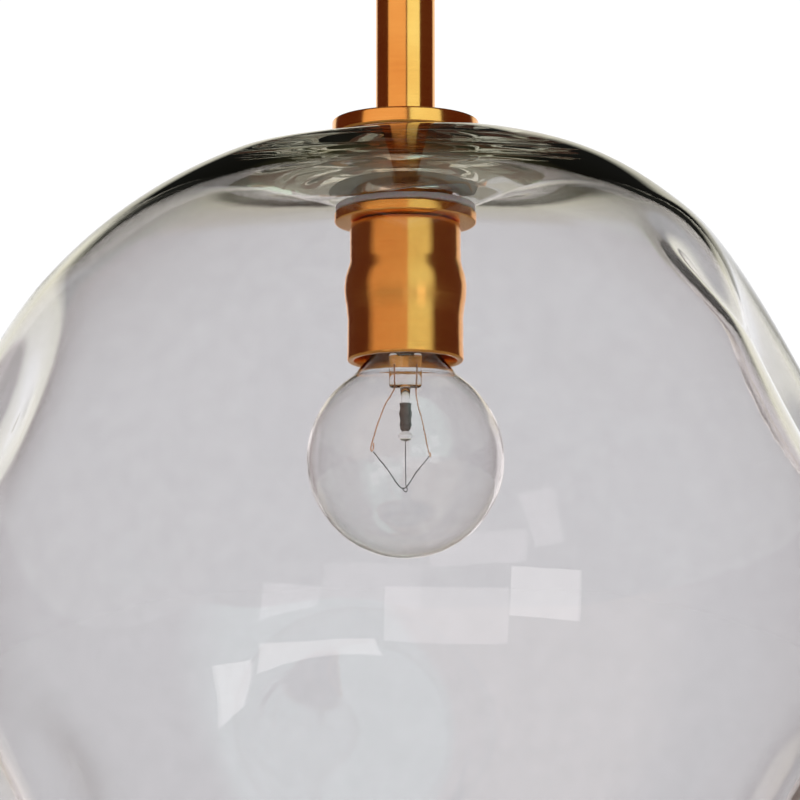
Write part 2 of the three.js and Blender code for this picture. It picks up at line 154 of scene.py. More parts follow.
# ---------------------------------------------------------------- materials
def brass(name, axis_x=0.0, roughness=0.19, tone=(1.0, 1.0, 1.0)):
    """Lacquered brass, brushed round its axis, with faint scratches and a warmer patina in places."""
    nodes = Nodes(name)
    lines, around = turned_coordinates(nodes, axis_x, 9000.0)
    brushing = nodes.noise(lines, 1.0, detail=4.0, roughness=0.65, w=around)
    cloud = nodes.noise(nodes.position(), 55.0, detail=4.0)
    mixed = nodes.math("ADD", nodes.math("MULTIPLY", brushing, 0.35), nodes.math("MULTIPLY", cloud, 0.65))
    shades = ((0.32, (0.80, 0.33, 0.075)), (0.5, (0.88, 0.41, 0.10)), (0.68, (0.94, 0.48, 0.13)))
    color = nodes.ramp(mixed, *((at, [c * t for c, t in zip(shade, tone)]) for at, shade in shades))
    nodes.link(color, nodes.shader.inputs["Base Color"])
    nodes.link(nodes.range(brushing, 0.3, 0.7, roughness - 0.04, roughness + 0.05), nodes.shader.inputs["Roughness"])
    nodes.link(nodes.bump(brushing, 0.08, 0.00001), nodes.shader.inputs["Normal"])
    nodes.set(Metallic=1.0, Anisotropic=0.75, Anisotropic_Rotation=0.25)
    tangent = nodes.add("ShaderNodeTangent", direction_type="RADIAL", axis="Z")
    nodes.link(tangent.outputs[0], nodes.shader.inputs["Tangent"])
    return nodes.material


def plated_steel(name, color=(0.62, 0.62, 0.60), roughness=0.34, metallic=1.0):
    """Zinc-plated steel with its fine spangle."""
    nodes = Nodes(name)
    spangle = nodes.noise(nodes.position(), 900.0, detail=5.0, roughness=0.6)
    shade = nodes.ramp(spangle, (0.3, [0.8 * c for c in color]), (0.7, [min(1, 1.12 * c) for c in color]))
    nodes.link(shade, nodes.shader.inputs["Base Color"])
    nodes.link(nodes.range(spangle, 0.3, 0.7, roughness - 0.1, roughness + 0.12), nodes.shader.inputs["Roughness"])
    nodes.link(nodes.bump(spangle, 0.2, 0.00003), nodes.shader.inputs["Normal"])
    nodes.set(Metallic=metallic)
    return nodes.material


def moulded(name, color, roughness, grain=1400.0, translucent=0.0):
    """Moulded rubber, silicone or plastic with a fine grain."""
    nodes = Nodes(name)
    texture = nodes.noise(nodes.position(), grain, detail=4.0)
    shade = nodes.ramp(texture, (0.3, [0.86 * c for c in color]), (0.7, [min(1, 1.08 * c) for c in color]))
    nodes.link(shade, nodes.shader.inputs["Base Color"])
    nodes.link(nodes.range(texture, 0.3, 0.7, roughness - 0.08, roughness + 0.08), nodes.shader.inputs["Roughness"])
    nodes.link(nodes.bump(texture, 0.25, 0.00004), nodes.shader.inputs["Normal"])
    nodes.shader.inputs["Subsurface Weight"].default_value = translucent
    nodes.shader.inputs["Subsurface Scale"].default_value = 0.001
    return nodes.material


def blown_glass(name, tint, body, density, wave, fine):
    """Blown glass: tinted where light crosses its faces, faintly coloured through its thickness, slightly wavy."""
    nodes = Nodes(name)
    nodes.set(Roughness=0.0, IOR=1.5)
    nodes.shader.inputs["Transmission Weight"].default_value = 1.0
    soft = nodes.noise(nodes.position(), wave, detail=2.0)
    streak = nodes.noise(nodes.position(), fine, detail=2.0)
    shade = nodes.ramp(streak, (0.3, [0.985 * c for c in tint]), (0.7, [min(1, 1.01 * c) for c in tint]))
    nodes.link(shade, nodes.shader.inputs["Base Color"])
    normal = nodes.bump(soft, 0.5, 0.0006)
    nodes.link(nodes.bump(streak, 0.12, 0.00005, normal), nodes.shader.inputs["Normal"])
    absorption = nodes.add("ShaderNodeVolumeAbsorption")
    absorption.inputs["Color"].default_value = (*body, 1)
    absorption.inputs["Density"].default_value = density
    nodes.link(absorption.outputs[0], nodes.output.inputs["Volume"])
    return nodes.material


BRASS = brass("brushed_brass")
BRASS_LEFT = brass("brushed_brass_left_knob", axis_x=-46.0)
BRASS_RIGHT = brass("brushed_brass_right_knob", axis_x=46.0)
BRASS_DARK = brass("threaded_brass", roughness=0.36, tone=(0.42, 0.22, 0.15))
STEEL = plated_steel("zinc_steel")
GREEN_STEEL = plated_steel("green_steel", (0.03, 0.24, 0.07), 0.4, 0.6)
NICKEL = plated_steel("nickelled_brass", (0.84, 0.62, 0.26), 0.24)
COPPER = plated_steel("copper_lead", (0.86, 0.52, 0.38), 0.3)
TUNGSTEN = plated_steel("tungsten", (0.12, 0.12, 0.13), 0.45)
RUBBER = moulded("black_rubber", (0.02, 0.02, 0.02), 0.65)
SILICONE = moulded("white_silicone", (0.80, 0.77, 0.80), 0.45, translucent=0.3)
PHENOLIC = moulded("phenolic", (0.045, 0.02, 0.013), 0.42)
BLACK_GLASS = moulded("base_glass", (0.012, 0.008, 0.012), 0.15, grain=600.0)
BLACK_PVC = moulded("black_insulation", (0.01, 0.01, 0.01), 0.4)
WHITE_PVC = moulded("white_insulation", (0.78, 0.76, 0.72), 0.45)
SMOKE_GLASS = blown_glass("smoke_glass", (0.80, 0.796, 0.818), (0.66, 0.66, 0.50), 14.0, 14.0, 160.0)
BULB_GLASS = blown_glass("bulb_glass", (0.985, 0.985, 0.985), (0.9, 0.95, 0.92), 4.0, 40.0, 400.0)


# ---------------------------------------------------------------- mesh helpers
def finish_mesh(name, mesh_builder, material, body, nodes=(), sharp_at=30.0):
    mesh = bpy.data.meshes.new(name)
    mesh_builder.to_mesh(mesh)
    mesh_builder.free()
    for polygon in mesh.polygons:
        polygon.use_smooth = True
    mesh.set_sharp_from_angle(angle=math.radians(sharp_at))
    mesh.materials.append(material)
    piece = bpy.data.objects.new(name, mesh)
    bpy.context.scene.collection.objects.link(piece)
    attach(piece, body)
    if nodes:
        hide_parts(*nodes)
    return piece


def grid_mesh(points, closed_rows):
    """A bmesh of a grid of points, rows by columns, whose columns close on themselves. Points are in mm."""
    rows, columns = points.shape[:2]
    builder = bmesh.new()
    verts = [[builder.verts.new(point * MM) for point in row] for row in points]
    last = rows if closed_rows else rows - 1
    for i in range(last):
        a = verts[i]
        b = verts[(i + 1) % rows]
        for j in range(columns):
            k = (j + 1) % columns
            builder.faces.new((a[j], a[k], b[k], b[j]))
    return builder


def lathe(profile, columns=128, axis_x=0.0):
    """A solid turned from [radius, height] points: a closed ring, or a solid that starts and ends on the axis."""
    on_axis = profile[0][0] == 0
    area = sum(p[0] * q[1] - q[0] * p[1] for p, q in zip(profile, [*profile[1:], profile[0]]))
    if area < 0:
        profile = profile[::-1]
    turn = np.linspace(0, 2 * math.pi, columns, endpoint=False)
    inner = profile[1:-1] if on_axis else profile
    rows = np.array([[(axis_x + r * math.cos(t), r * math.sin(t), z) for t in turn] for r, z in inner])
    builder = grid_mesh(rows, closed_rows=not on_axis)
    if on_axis:
        builder.verts.ensure_lookup_table()
        count = len(inner)
        for height, start, order in ((profile[0][1], 0, -1), (profile[-1][1], (count - 1) * columns, 1)):
            pole = builder.verts.new(Vector((axis_x, 0, height)) * MM)
            builder.verts.ensure_lookup_table()
            ring = [builder.verts[start + j] for j in range(columns)]
            for j in range(columns):
                edge = (ring[j], ring[(j + 1) % columns])
                builder.faces.new((*edge[::order], pole) if order == 1 else (edge[1], edge[0], pole))
    bmesh.ops.recalc_face_normals(builder, faces=builder.faces)
    return builder


def arc(centre, size, start, end, steps):
    angles = np.radians(np.linspace(start, end, steps + 1))
    return [(centre[0] + size * math.cos(a), centre[1] + size * math.sin(a)) for a in angles]


def rounded(points, size=0.4, steps=4):
    """A closed profile with each corner rounded by a small arc. A point may give its own size as a third number."""
    made = []
    count = len(points)
    for i, point in enumerate(points):
        here = np.array(point[:2], float)
        before = np.array(points[i - 1][:2], float)
        after = np.array(points[(i + 1) % count][:2], float)
        r = point[2] if len(point) > 2 else size
        r = min(r, 0.45 * np.linalg.norm(before - here), 0.45 * np.linalg.norm(after - here))
        if r <= 0:
            made.append(tuple(here))
            continue
        start = here + (before - here) / np.linalg.norm(before - here) * r
        end = here + (after - here) / np.linalg.norm(after - here) * r
        for t in np.linspace(0, 1, steps + 1):
            made.append(tuple((1 - t) ** 2 * start + 2 * t * (1 - t) * here + t**2 * end))
    return made


def smooth(points, steps=6):
    """A Catmull-Rom curve through open points."""
    p = np.array(points, float)
    p = np.vstack([2 * p[0] - p[1], p, 2 * p[-1] - p[-2]])
    made = []
    for i in range(1, len(p) - 2):
        for t in np.linspace(0, 1, steps, endpoint=False):
            a, b, c, d = p[i - 1 : i + 3]
            square = 2 * a - 5 * b + 4 * c - d
            cube = 3 * b - a - 3 * c + d
            made.append(0.5 * (2 * b + (c - a) * t + square * t**2 + cube * t**3))
    made.append(p[-2])
    return [tuple(q) for q in made]


# ---------------------------------------------------------------- camera
def make_camera():
    """A camera a little below the light, looking up at the cup and the bulb."""
    rim = foot("socket_cup")
    aim = Vector((-1.45, 0, rim - 10.4)) * MM
    tilt = math.radians(9.45)
    distance = 1.3
    width_seen = 0.2116  # metres across, at the aim point
    data = bpy.data.cameras.new("camera")
    data.sensor_width = 36
    data.lens = data.sensor_width * distance / width_seen
    camera = bpy.data.objects.new("camera", data)
    bpy.context.scene.collection.objects.link(camera)
    forward = Vector((0, math.cos(tilt), math.sin(tilt)))
    camera.location = aim - forward * distance
    camera.rotation_euler = (math.pi / 2 + tilt, 0, 0)
    data.clip_start = 0.01
    data.clip_end = 50
    bpy.context.scene.camera = camera


# ---------------------------------------------------------------- globe
GLOBE_RADIUS = 127  # of the frame's own globe
GLOBE_SHRINK = 0.4  # how far the fine globe stays inside it
GLOBE_WALL = 2.6
GLOBE_CROWN = 15.9
PAD_RADIUS = {"front": 44, "back": 28}  # from the crown, where the thick glass is half gone
LIP_BULGE = 0.9  # how far the fire-polished edge of the mouth swells down
MOUTH_RADIUS = 52
SEAT_RADIUS = 28
INNER_SEAT_RADIUS = 20.5
HOLE_RADIUS = 13.2
# azimuth, height above the horizontal in degrees, radius and depth of each dimple
DIMPLES = [
    (-15.5, 25.5, 61, 16.7), (-35, 39.5, 27, 5.2), (-7, 66.5, 42, -2.2), (-120, 80.5, 36, 4.2), (-156, 20, 46, 8),
    (-143, -26, 32, 7), (-13, -30, 40, 8), (-97, -28, 36, 5), (54, 43, 30, 4), (135, 18, 44, 6),
    (98, -11, 42, 5), (20, -25, 40, 6), (170, -25, 42, 8), (100, 35, 38, 5),
]


def pressed_in(directions, lengths, ball):
    """How far in the dimples press the wall, for unit vectors and distances from the globe's centre."""
    total = np.zeros(directions.shape[:-1])
    for azimuth, height, size, depth in DIMPLES:
        a, h = math.radians(azimuth), math.radians(height)
        middle = np.array([math.cos(a) * math.cos(h), math.sin(a) * math.cos(h), math.sin(h)])
        away = np.arccos(np.clip(directions @ middle, -1, 1)) * ball / size
        total += np.where(away < 1, depth * np.cos(np.minimum(away, 1) * math.pi / 2) ** 2, 0)
    from_axis = lengths * np.hypot(directions[..., 0], directions[..., 1])
    free = np.clip((from_axis - INNER_SEAT_RADIUS) / (SEAT_RADIUS - INNER_SEAT_RADIUS), 0, 1)
    return total * free**2 * (3 - 2 * free)


def crown_pad(directions):
    """How much thicker than its wall the glass is round the crown, where it hung from the pipe."""
    along = np.arccos(np.clip(directions[..., 2], -1, 1)) * GLOBE_RADIUS
    back = ((1 + np.sin(np.arctan2(directions[..., 1], directions[..., 0]))) / 2) ** 2
    reach = PAD_RADIUS["front"] + (PAD_RADIUS["back"] - PAD_RADIUS["front"]) * back
    return (GLOBE_CROWN - GLOBE_WALL) / (1 + (along / reach) ** 6)


def make_globe():
    """The globe as one closed skin: outside, lip of the mouth, inside, and the hole in the crown."""
    columns = 256
    rows = 150
    ball = GLOBE_RADIUS - GLOBE_SHRINK
    crown_top = top("globe")
    centre = crown_top - math.sqrt(GLOBE_RADIUS**2 - SEAT_RADIUS**2)
    start = math.asin(SEAT_RADIUS / ball)
    end = math.pi - math.asin(MOUTH_RADIUS / ball)
    angles = np.linspace(start, end, rows + 1)
    outer = [(ball * math.sin(a), centre + ball * math.cos(a)) for a in angles]
    thin = ball - GLOBE_WALL
    inner = [(thin * math.sin(a), centre + thin * math.cos(a)) for a in angles]
    crown_foot = crown_top - GLOBE_CROWN
    lip = [outer[-1], inner[-1]]
    middle = np.mean(lip, axis=0)
    half = np.subtract(lip[0], lip[1]) / 2
    down = np.array([-half[1], half[0]])
    if down[1] > 0:
        down = -down
    half_turn = np.linspace(0, math.pi, 9)[1:-1]
    rim = [tuple(middle + half * math.cos(t) + down * LIP_BULGE * math.sin(t)) for t in half_turn]
    inner = [p for p in inner if p[0] > INNER_SEAT_RADIUS + 0.5]
    flat = [(r, crown_top) for r in np.linspace(19.5, SEAT_RADIUS - 0.5, 10)]
    profile = [
        (HOLE_RADIUS, crown_top - 0.4), (HOLE_RADIUS + 0.4, crown_top), *flat, *outer[1:], *rim, *inner[::-1],
        (20.0, crown_foot), (HOLE_RADIUS + 0.4, crown_foot), (HOLE_RADIUS, crown_foot + 0.4),
    ]
    turn = np.linspace(0, 2 * math.pi, columns, endpoint=False)
    points = np.array([[(r * math.cos(t), r * math.sin(t), z) for t in turn] for r, z in profile])
    offset = points - np.array([0, 0, centre])
    length = np.linalg.norm(offset, axis=-1, keepdims=True)
    unit = offset / length
    depth = pressed_in(unit, length[..., 0], ball)[..., None]
    inside = len(flat) + 2 + len(outer) - 1 + len(rim)
    depth[inside : inside + len(inner)] += crown_pad(unit[inside : inside + len(inner)])[..., None]
    points = points - unit * depth
    builder = grid_mesh(points, closed_rows=True)
    bmesh.ops.recalc_face_normals(builder, faces=builder.faces)
    finish_mesh("glass_globe", builder, SMOKE_GLASS, "pendant", ["globe"], sharp_at=55)


# ---------------------------------------------------------------- brass and other turned pieces
def turned(node, profile, material, body, columns=128, axis_x=0.0, sharp_at=30.0):
    builder = lathe(profile, columns, axis_x)
    return finish_mesh(node + "_fine", builder, material, body, [node], sharp_at)


def ring_profile(bore, size, low, high, edge=0.35):
    return rounded([(bore, low, 0.1), (size, low, edge), (size, high, edge), (bore, high, 0.1)])


def make_stem():
    """The stem tube, the discs and gaskets that clamp the globe, and the cap at the stem's upper end."""
    low, high = foot("stem_tube"), top("stem_tube")
    stem_radius = 7.9
    turned("stem_tube", ring_profile(6.3, stem_radius, low, high, 0.25), BRASS, "pendant")
    for node, edge, material, slot, columns in (
        ("top_washer", 0.7, BRASS, "brushed_brass", 160), ("glass_flange", 0.6, BRASS, "brushed_brass", 160),
        ("lower_gasket", 0.6, SILICONE, "white_silicone", 128), ("top_gasket", 0.2, RUBBER, "black_rubber", 128),
    ):
        profile = ring_profile(PIPE_BORE, radius(node) - 0.03, foot(node), top(node), edge)
        turned(node, profile, material, "pendant", columns)
    insert_foot, insert_top = foot("stem_top_insert"), top("stem_top_insert")
    cap_foot = high + 0.3
    insert = rounded([
        (PIPE_BORE, insert_foot, 0.1), (6.0, insert_foot, 0.1), (6.0, cap_foot, 0),
        (stem_radius, cap_foot, 0.1), (stem_radius, insert_top, 0.5), (PIPE_BORE, insert_top, 0.2),
    ])
    turned("stem_top_insert", insert, BRASS, "pendant")


def thread(size, low, high, pitch=0.94, depth=0.45):
    """The outline of a threaded rod, from low to high."""
    count = int((high - low - 0.6) / pitch)
    crests = [(size - depth * (i % 2), low + 0.3 + i * pitch / 2) for i in range(2 * count + 1)]
    return [(size - depth, low), *crests, (size - depth, high)]


def make_pipes():
    """The two threaded lamp pipes."""
    for node in ("swivel_pipe", "clamp_pipe"):
        low, high = foot(node), top(node)
        profile = [(3.3, low), *thread(radius(node) - 0.02, low, high), (3.3, high)]
        turned(node, profile, STEEL, "pendant", 64, sharp_at=20)


def make_bush():
    """The brass bush in the globe's hole, with its fine thread."""
    low, high = foot("centring_bush"), top("centring_bush")
    size = radius("centring_bush") - 0.03
    profile = [(PIPE_BORE, low), *thread(size, low, high, pitch=2.2, depth=0.7), (PIPE_BORE, high)]
    turned("centring_bush", profile, BRASS_DARK, "pendant", 96, sharp_at=20)


def make_cup():
    """The spun socket cup, with its waist and its turned-in rim. Its profile is given down from the cup's top."""
    cup_top, rim = top("socket_cup"), foot("socket_cup")
    length = cup_top - rim
    waist = smooth([
        (14.78, 9.0), (14.8, 10.5), (15.15, 12.0), (15.95, 14.8), (16.25, 17.3), (16.1, 20.0),
        (15.7, 23.0), (15.42, 25.8), (15.4, 28.5),
    ], 6)
    outside = [
        (14.1, 0.0), (14.45, 0.12), (14.7, 0.45), (14.76, 1.0), *waist,
        (15.42, length - 2.0), (15.45, length - 0.7), (15.38, length - 0.3), (15.15, length - 0.05),
        (14.9, length), (14.1, length), (13.8, length - 0.08), (13.65, length - 0.35), (13.62, length - 3.0),
    ]
    profile = [(PIPE_BORE, 0.0), *outside, (13.62, 2.6), (13.2, 2.05), (PIPE_BORE, 2.05)]
    profile = [(r, cup_top - below) for r, below in profile]
    turned("socket_cup", profile, BRASS, "pendant", 192, sharp_at=40)


def make_canopy():
    """The drawn canopy, a shallow dish open at the ceiling."""
    canopy_foot = foot("canopy")
    wall, size, bend = 1.5, 63.4, 6
    corner = (size - bend, canopy_foot + bend)
    profile = [
        (17.6, canopy_foot + 0.3), (17.9, canopy_foot), *arc(corner, bend, -90, 0, 12),
        (size, -0.5), (size - 0.4, -0.05), (size - wall, -0.05),
        *arc(corner, bend - wall, 0, -90, 12), (17.6, canopy_foot + wall),
    ]
    turned("canopy", profile, BRASS, "ceiling", 192)


def make_knobs():
    """The knurled knobs under the canopy."""
    for node, material in (("canopy_knob_left", BRASS_LEFT), ("canopy_knob_right", BRASS_RIGHT)):
        lo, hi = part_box(node)
        axis_x = (lo.x + hi.x) / 2 / MM
        low, high = lo.z / MM, hi.z / MM
        size = radius(node) - 0.04
        columns = 96
        profile = [
            (0, low), (1.8, low + 0.08), (3.2, low + 0.5), (size - 0.75, low + 1.7), (size - 0.45, low + 2.4),
            (size - 0.02, low + 3.2), (size - 0.02, high - 2.2), (size - 0.45, high - 1.5),
            (size - 0.9, high - 0.2), (size - 1.2, high), (2.5, high), (2.4, high - 0.2),
            (2.3, -33.4), (0, -33.4),
        ]
        builder = lathe(profile, columns, axis_x)
        builder.verts.ensure_lookup_table()
        for vert in builder.verts:
            x, y = vert.co.x / MM - axis_x, vert.co.y / MM
            if math.hypot(x, y) > size - 0.1 and round(math.atan2(y, x) / (2 * math.pi) * columns) % 2:
                vert.co.x -= x * MM * 0.07
                vert.co.y -= y * MM * 0.07
        finish_mesh(node + "_fine", builder, material, "ceiling", [node], 20)


BALL_TOP = 6  # the flat on the swivel's ball, above its centre


def make_swivel():
    """The collar in the canopy and the ball that turns in it."""
    low, high = foot("swivel_collar"), top("swivel_collar")
    flange_high = low + 3.2
    collar = [
        (14.4, low + 0.3), (14.7, low), (19.6, low), (20.5, low + 0.35), (20.95, low + 1.2),
        (20.95, flange_high - 0.3), (20.7, flange_high), (17.1, flange_high), (17.1, high), (14.4, high),
    ]
    turned("swivel_collar", collar, BRASS, "ceiling", 160, sharp_at=35)
    ball, ball_top = radius("swivel_ball") - 0.02, top("swivel_ball")
    centre = ball_top - BALL_TOP
    lowest, highest = -math.degrees(math.acos(PIPE_BORE / ball)), math.degrees(math.asin(BALL_TOP / ball))
    profile = [*arc((0, centre), ball, lowest, highest, 40), (PIPE_BORE, ball_top)]
    turned("swivel_ball", profile, BRASS, "pendant", 96, sharp_at=35)


# ---------------------------------------------------------------- bulb
def make_bulb():
    """The bulb's blown envelope, a sphere that narrows to the neck in the base."""
    ball = radius("bulb_envelope") - 0.03
    bottom = foot("bulb_envelope")
    centre = (0, bottom + ball + 0.02)
    rim = foot("socket_cup")
    wall = 0.6
    neck_foot = rim + 4
    neck_top = top("bulb_envelope")
    shoulder = 57
    end_out = (ball * math.cos(math.radians(shoulder)), centre[1] + ball * math.sin(math.radians(shoulder)))
    outside = smooth([
        end_out, (12.1, rim - 1.9), (10.2, rim + 0.2), (8.6, rim + 2.4), (6.95, neck_foot + 0.2),
        (5.6, neck_foot + 0.8),
    ], 5)
    inside = [(r - wall if r > 6 else r - 0.7, z - 0.25) for r, z in outside]
    profile = [
        *arc(centre, ball, -90, shoulder, 60)[:-1], *outside, (5.4, neck_foot + 1.4), (5.4, neck_top),
        (4.7, neck_top), (4.7, neck_foot + 0.8), *inside[::-1][1:], *arc(centre, ball - wall, shoulder - 1, -90, 60),
    ]
    profile[0] = (0, profile[0][1])
    profile[-1] = (0, profile[-1][1])
    builder = lathe(profile, 144)
    finish_mesh("bulb_envelope_fine", builder, BULB_GLASS, "bulb", ["bulb_envelope"], 60)


def joined(name, builders, material, body, nodes):
    """One solid made of several that overlap."""
    pieces = []
    for index, builder in enumerate(builders):
        mesh = bpy.data.meshes.new(f"{name}_{index}")
        builder.to_mesh(mesh)
        builder.free()
        piece = bpy.data.objects.new(mesh.name, mesh)
        bpy.context.scene.collection.objects.link(piece)
        pieces.append(piece)
    whole = pieces[0]
    for piece in pieces[1:]:
        modifier = whole.modifiers.new("join", "BOOLEAN")
        modifier.operation = "UNION"
        modifier.solver = "EXACT"
        modifier.object = piece
    bpy.context.view_layer.update()
    merged = bmesh.new()
    merged.from_object(whole, bpy.context.evaluated_depsgraph_get())
    for piece in pieces:
        bpy.data.objects.remove(piece)
    return finish_mesh(name, merged, material, body, nodes, 40)


def wire_piece(name, points, thickness, material, nodes):
    """A round wire through points in mm, as a curve with its own thickness."""
    curve = bpy.data.curves.new(name, "CURVE")
    curve.dimensions = "3D"
    curve.bevel_depth = thickness / 2 * MM
    curve.bevel_resolution = 2
    curve.use_fill_caps = True
    spline = curve.splines.new("POLY")
    spline.points.add(len(points) - 1)
    for target, point in zip(spline.points, points):
        target.co = (*(c * MM for c in point), 1)
    curve.materials.append(material)
    piece = bpy.data.objects.new(name, curve)
    bpy.context.scene.collection.objects.link(piece)
    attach(piece, "bulb")
    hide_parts(*nodes)
    return piece


def bulb_place(x, below, y=0.0):
    """A point in the bulb, below the rim of the cup."""
    return (x, y, foot("socket_cup") - below)


def make_bulb_mount():
    """The glass flare and press that hold the leads, and the rod with its button."""
    rim = foot("socket_cup")
    press = bmesh.new()
    bmesh.ops.create_cube(press, size=1.0)
    size = Vector((8.7, 2.6, 9.0)) * MM
    bmesh.ops.scale(press, vec=size, verts=press.verts)
    bmesh.ops.translate(press, vec=Vector((0, 0, rim - 2.6)) * MM, verts=press.verts)
    bmesh.ops.bevel(press, geom=press.edges[:], offset=0.9 * MM, segments=4, profile=0.5, affect="EDGES")
    stem = lathe([
        (0, rim + 1.0), (2.5, rim + 1.2), (2.9, rim + 2.2), (3.0, rim + 4.5), (3.3, rim + 6.4), (4.1, rim + 7.9),
        (3.9, rim + 8.0), (0, rim + 7.4),
    ], 48)
    rod = lathe([
        (0, rim - 21.4), *arc((0, rim - 20.0), 1.4, -80, 60, 8), (1.15, rim - 18.2), (1.15, rim - 9.5),
        (1.35, rim - 7.6), (1.9, rim - 6.4), (0, rim - 6.2),
    ], 48)
    for vert in rod.verts:
        if vert.co.z < (rim - 18.6) * MM:
            vert.co.x *= 1.35
            vert.co.y *= 1.35
    joined("bulb_mount_fine", [press, stem, rod], BULB_GLASS, "bulb", ["bulb_mount"])


LEAD_THICKNESS = 0.38
SUPPORT_THICKNESS = 0.22
FILAMENT = {"thickness": 0.11, "radius": 0.16, "turns": 110, "steps": 8}  # its coil, and the points in each turn


def make_bulb_wires():
    """The two leads, the hook that holds the filament up, and the coiled filament."""
    left = smooth([bulb_place(*p) for p in (
        (-2.9, 1.0), (-2.9, 4.5), (-3.0, 7.4), (-5.1, 11.2), (-7.1, 16.2), (-8.7, 21.4), (-9.2, 23.4), (-8.9, 24.1),
        (-8.5, 23.3), (-8.4, 21.8),
    )])
    right = smooth([bulb_place(*p) for p in (
        (2.9, 1.0), (3.0, 4.5), (2.8, 7.4), (3.2, 11.2), (4.5, 16.2), (5.5, 21.4), (6.3, 25.0), (6.6, 25.3),
        (6.5, 24.4),
    )])
    wire_piece("bulb_lead_left_fine", left, LEAD_THICKNESS, COPPER, ["bulb_lead_left"])
    wire_piece("bulb_lead_right_fine", right, LEAD_THICKNESS, COPPER, ["bulb_lead_right"])
    support = smooth([bulb_place(*p) for p in (
        (0, 20.8), (0.0, 25.0), (0.05, 30.0), (0.1, 33.0), (0.5, 34.3), (0.15, 34.9), (-0.5, 34.5), (-0.7, 33.8),
    )])
    wire_piece("bulb_support_fine", support, SUPPORT_THICKNESS, TUNGSTEN, ["bulb_support"])
    path = smooth([bulb_place(*p) for p in ((-8.5, 24.2), (-4.6, 29.1), (-0.6, 34.1), (2.8, 29.8), (6.4, 25.2))], 12)
    path = [np.array(p) for p in path]
    lengths = np.concatenate([[0], np.cumsum([np.linalg.norm(b - a) for a, b in zip(path, path[1:])])])

    def place(along):
        return np.array([np.interp(along, lengths, [p[k] for p in path]) for k in range(3)])

    across = np.array([0.0, 1.0, 0.0])
    nearby = 0.2
    coil = []
    for t in np.linspace(0, 1, FILAMENT["turns"] * FILAMENT["steps"] + 1):
        along = t * lengths[-1]
        ahead, behind = place(along + nearby), place(along - nearby)
        tangent = (ahead - behind) / np.linalg.norm(ahead - behind)
        up = np.cross(tangent, across)
        angle = 2 * math.pi * FILAMENT["turns"] * t
        coil.append(tuple(place(along) + FILAMENT["radius"] * (across * math.cos(angle) + up * math.sin(angle))))
    wire_piece("bulb_filament_fine", coil, FILAMENT["thickness"], TUNGSTEN, ["bulb_filament"])


def make_bulb_sleeve():
    """The grey sleeve pinched round the rod."""
    low, high = foot("bulb_getter"), top("bulb_getter")
    bore, size = 1.3, 1.58
    outside = []
    for z in np.linspace(low, high, 29):
        pinch = 0.25 if (z - low) / (high - low) < 0.12 else 0
        outside.append((size + 0.12 * math.sin((z - low) * 1.9) - pinch, z))
    profile = [(bore, low), *outside, (bore, high)]
    turned("bulb_getter", profile, TUNGSTEN, "bulb", 48, sharp_at=60)


def make_threads():
    """The rolled threads of the socket's shell and the bulb's base."""
    pitch, ripple = 2.54, 0.12
    shell_low, shell_high = foot("socket_screw_shell"), top("socket_screw_shell")
    heights = np.linspace(shell_low, shell_high, 60)
    wave = [ripple * math.sin(2 * math.pi * (z - shell_low) / pitch) for z in heights]
    outside = [(6.74 + w, z) for z, w in zip(heights, wave)]
    inside = [(6.56 + w, z) for z, w in zip(heights, wave)]
    turned("socket_screw_shell", [*outside, *inside[::-1]], NICKEL, "pendant", 96, sharp_at=60)
    low, high = foot("bulb_base_shell"), top("bulb_base_shell")
    heights = np.linspace(low + 1.0, high - 1.2, 52)
    ridge = [(5.8 + ripple * math.sin(2 * math.pi * (z - low) / pitch), z) for z in heights]
    profile = [
        (5.55, low), (6.1, low + 0.05), (6.0, low + 0.6), *ridge, (5.5, high - 0.5), (4.9, high - 0.05), (4.3, high),
        (4.3, high - 0.5), (5.3, high - 1.3), (5.55, high - 2.0),
    ]
    turned("bulb_base_shell", profile, NICKEL, "bulb", 96, sharp_at=60)


# ---------------------------------------------------------------- materials on the frame's own nodes
def paint_frame():
    paint = {
        "swivel_seat": BRASS, "stem_bottom_insert": BRASS,
        "crossbar": STEEL, "canopy_stud_left": STEEL, "canopy_stud_right": STEEL,
        "stud_nut_left": STEEL, "stud_nut_right": STEEL, "ground_screw": GREEN_STEEL,
        "swivel_collar_nut": STEEL, "swivel_ball_nut": STEEL,
        "socket_bracket": STEEL, "lock_washer": STEEL, "clamp_nut": STEEL,
        "socket_body": PHENOLIC, "socket_contact": NICKEL,
        "terminal_screw_hot": STEEL, "terminal_screw_neutral": STEEL,
        "wire_hot": BLACK_PVC, "wire_neutral": WHITE_PVC,
        "bulb_base_insulator": BLACK_GLASS, "bulb_base_contact": STEEL,
    }
    for node, material in paint.items():
        mesh_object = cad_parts[node]
        if not mesh_object.material_slots:
            mesh_object.data.materials.append(material)
        for slot in mesh_object.material_slots:
            slot.material = material


# ---------------------------------------------------------------- studio
FLOOR_HALF_WIDTH = 12.0  # metres
FLOOR_DROP = 0.9  # metres below the globe
FLOOR_GLOW = 0.55


